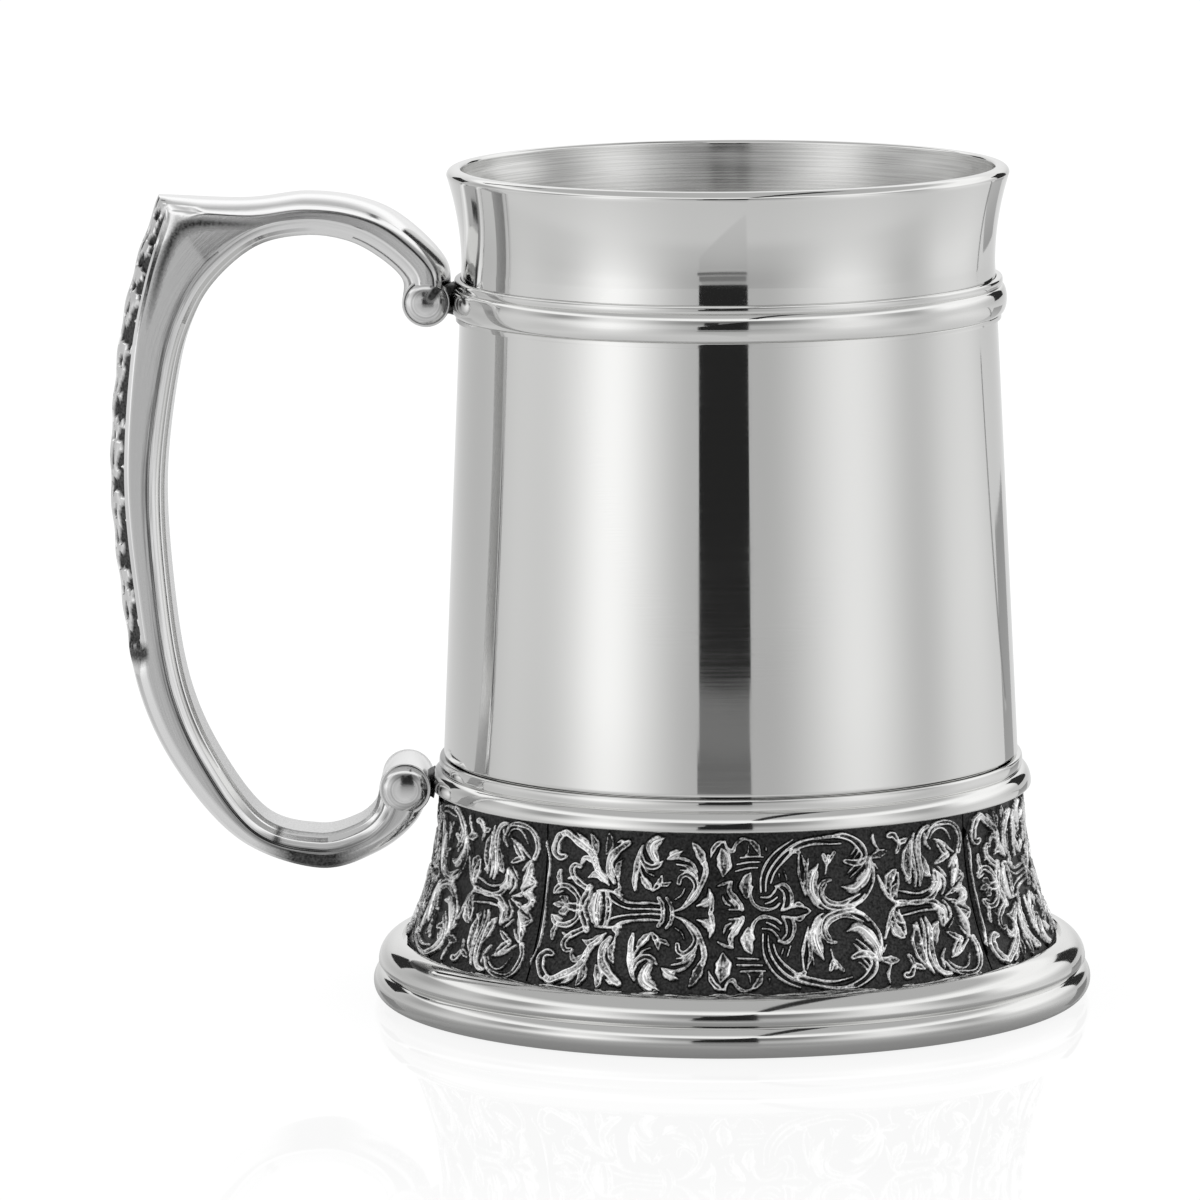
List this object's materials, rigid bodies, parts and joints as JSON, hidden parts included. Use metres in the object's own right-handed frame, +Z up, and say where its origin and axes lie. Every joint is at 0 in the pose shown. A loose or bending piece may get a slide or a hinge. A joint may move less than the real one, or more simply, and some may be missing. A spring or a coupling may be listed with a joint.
{
  "type": "tankard",
  "caption": "Tapered pewter beer tankard with a flared mouth, bead and collar rings, a dark acanthus relief frieze above a rolled foot, and a cast scroll handle with a thumb rest.",
  "frame": {"origin": "on the drum's axis, in the plane of the table it stands on, at the middle of the closing plate", "axes": "+Z up along the drum's axis, -X towards the handle, so the handle lies in the XZ plane"},
  "size_m": [0.1477, 0.1088, 0.1259],
  "materials": {
    "polished_pewter": "mirror-polished cast pewter",
    "handle_pewter": "polished cast pewter with fine file lines",
    "satin_pewter": "satin, turned lines",
    "antiqued_pewter": "blackened ground with rubbed bright ridges"
  },
  "bodies": {
    "root": {"drum": "polished_pewter", "bead_ring": "polished_pewter", "collar_ring": "polished_pewter", "frieze_panel_1": "antiqued_pewter", "frieze_panel_2": "antiqued_pewter", "frieze_panel_3": "antiqued_pewter", "frieze_panel_4": "antiqued_pewter", "foot_ring": "polished_pewter", "vessel_floor": "satin_pewter", "base_plate": "satin_pewter", "handle": "handle_pewter"}
  },
  "joints": []
}
